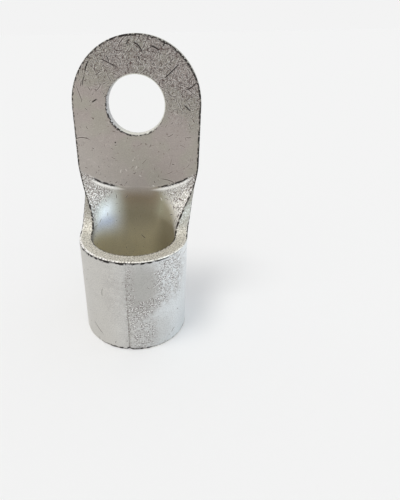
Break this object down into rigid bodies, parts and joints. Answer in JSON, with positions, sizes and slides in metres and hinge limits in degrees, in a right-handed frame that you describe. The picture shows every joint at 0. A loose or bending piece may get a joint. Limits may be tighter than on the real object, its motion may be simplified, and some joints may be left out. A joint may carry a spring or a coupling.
{
  "type": "cable lug",
  "caption": "One-piece cable lug: flat ring tongue with a stud hole, scooped neck and a closed tubular barrel with a brazed seam, standing on the barrel's mouth.",
  "frame": {"origin": "centre of the barrel's mouth, on the surface that the lug stands on", "axes": "+Z along the barrel from its mouth towards the tongue, +Y towards the tongue's back, and the brazed seam faces -Y"},
  "size_m": [0.029, 0.025, 0.0653],
  "materials": {
    "tin_plate": "satin tin plating over copper, scratched and pitted from handling"
  },
  "bodies": {
    "root": {"cable_lug": "tin_plate"}
  },
  "joints": []
}
